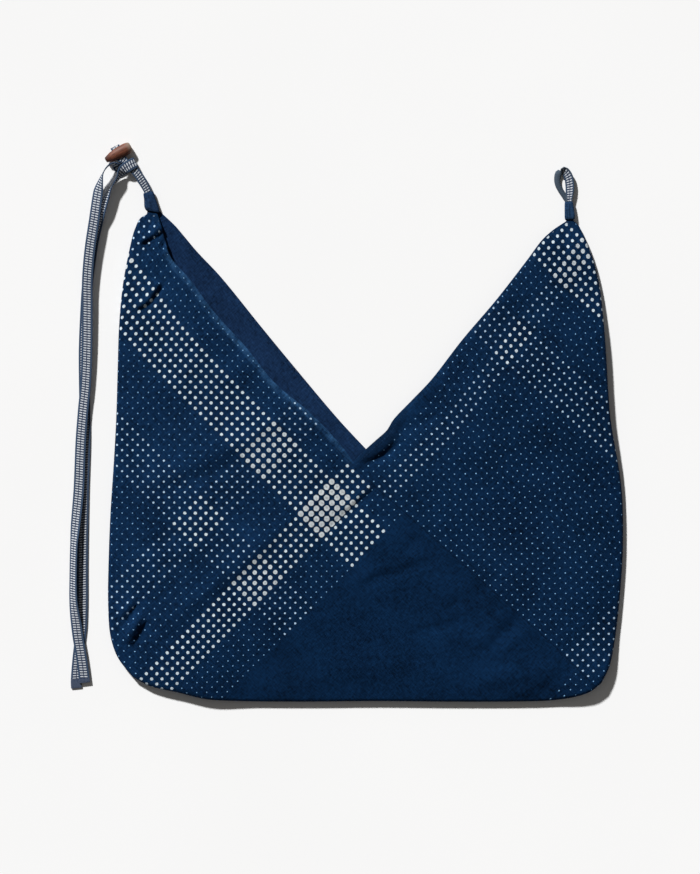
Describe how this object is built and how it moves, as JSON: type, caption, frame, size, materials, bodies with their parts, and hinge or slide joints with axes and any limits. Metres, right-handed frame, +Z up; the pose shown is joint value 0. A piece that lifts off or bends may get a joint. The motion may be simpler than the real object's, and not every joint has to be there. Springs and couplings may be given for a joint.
{
  "type": "tsuno bag",
  "caption": "Soft cotton bag folded from one strip, with horned corners, a V-shaped mouth, a tape strap, a wooden toggle and a loop, lying flat.",
  "frame": {"origin": "the middle of the whole piece seen from above, at the height of the surface it lies on", "axes": "+X to the side of the horn with the loop, +Y from the bottom of the bag to its horns, +Z up, away from the surface it lies on"},
  "size_m": [0.5542, 0.5576, 0.0125],
  "materials": {
    "printed_cotton": "plain-woven cotton dyed dark indigo, with a print of small pale dots",
    "plain_cotton": "plain-woven cotton dyed dark indigo",
    "woven_tape": "narrow woven tape, navy with two rows of off-white dashes",
    "toggle_wood": "smooth reddish brown wood"
  },
  "bodies": {
    "root": {"bag_body": "printed_cotton", "sleeve_left": "plain_cotton", "sleeve_right": "plain_cotton", "tape_short": "woven_tape", "tape_loop": "woven_tape", "strap": "woven_tape", "toggle": "toggle_wood"}
  },
  "joints": []
}
